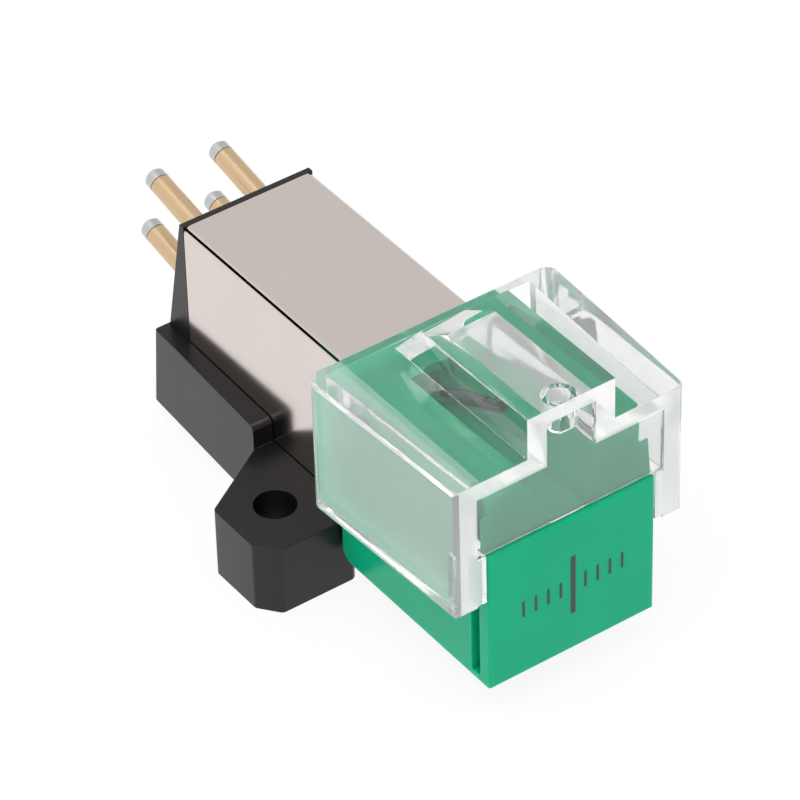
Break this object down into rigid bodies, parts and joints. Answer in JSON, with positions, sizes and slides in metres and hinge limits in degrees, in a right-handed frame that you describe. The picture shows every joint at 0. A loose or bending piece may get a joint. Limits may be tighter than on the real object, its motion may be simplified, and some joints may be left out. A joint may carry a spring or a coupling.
{
  "type": "phono cartridge",
  "caption": "Moving-magnet phono cartridge: drilled ears, folded metal shield, rear terminal pins, pull-off stylus with a sprung cantilever, and a clear lift-off stylus guard.",
  "frame": {"origin": "midway between the two mounting holes, on the mounting face of the ears", "axes": "+Z from the mounting face towards the record side, -Y towards the front plate, +Y towards the terminal pins, X across the ears"},
  "size_m": [0.0178, 0.0319, 0.0165],
  "materials": {
    "frame_plastic": "moulded, satin",
    "shield_metal": "satin nickel",
    "pin_plating": "plated, semi-bright",
    "solder": "bright solder",
    "core_metal": "stamped",
    "bobbin_plastic": "moulded",
    "copper_wire": "enamelled wire",
    "holder_plastic": "moulded, glossy",
    "sleeve_metal": "drawn",
    "damper_rubber": "soft elastomer",
    "anchor_brass": "turned",
    "tie_wire_steel": "drawn",
    "cantilever_metal": "drawn tube",
    "magnet": "sintered",
    "diamond": "ground",
    "guard_clear": "clear, polished mould"
  },
  "bodies": {
    "cartridge_body": {"mount_frame": "frame_plastic", "shield_can": "shield_metal", "terminal_block": "frame_plastic", "terminal_pin_upper_left": "pin_plating", "terminal_pin_upper_right": "pin_plating", "terminal_pin_lower_left": "pin_plating", "terminal_pin_lower_right": "pin_plating", "solder_tip_upper_left": "solder", "solder_tip_upper_right": "solder", "solder_tip_lower_left": "solder", "solder_tip_lower_right": "solder", "pole_core_left": "core_metal", "pole_core_right": "core_metal", "bobbin_left": "bobbin_plastic", "bobbin_right": "bobbin_plastic", "winding_left": "copper_wire", "winding_right": "copper_wire"},
    "stylus": {"stylus_holder": "holder_plastic", "suspension_sleeve": "sleeve_metal", "damper": "damper_rubber", "wire_anchor": "anchor_brass", "tie_wire": "tie_wire_steel"},
    "pivot": {"pivot_collar": "sleeve_metal"},
    "armature": {"cantilever": "cantilever_metal", "magnet_carrier": "bobbin_plastic", "magnet_left": "magnet", "magnet_right": "magnet", "tip_shank": "tie_wire_steel", "stylus_tip": "diamond"},
    "guard": {"stylus_guard": "guard_clear"}
  },
  "joints": [
    {"name": "stylus_pull", "type": "slide", "parent": "cartridge_body", "child": "stylus", "axis": [0, -1, 0], "range_m": [0, 0.012]},
    {"name": "guard_lift", "type": "slide", "parent": "stylus", "child": "guard", "axis": [0, 0, 1], "range_m": [0, 0.01]},
    {"name": "cantilever_sideways", "type": "hinge", "parent": "stylus", "child": "pivot", "pos_m": [0, -0.0024, 0.0099], "axis": [0, 0, 1], "range_deg": [-2, 2], "stiffness_Nm_per_rad": 0.007, "deforming": ["damper", "tie_wire"]},
    {"name": "cantilever_upright", "type": "hinge", "parent": "pivot", "child": "armature", "pos_m": [0, -0.0024, 0.0099], "axis": [1, 0, 0], "range_deg": [-2, 2], "stiffness_Nm_per_rad": 0.007, "deforming": ["damper", "tie_wire"]}
  ]
}
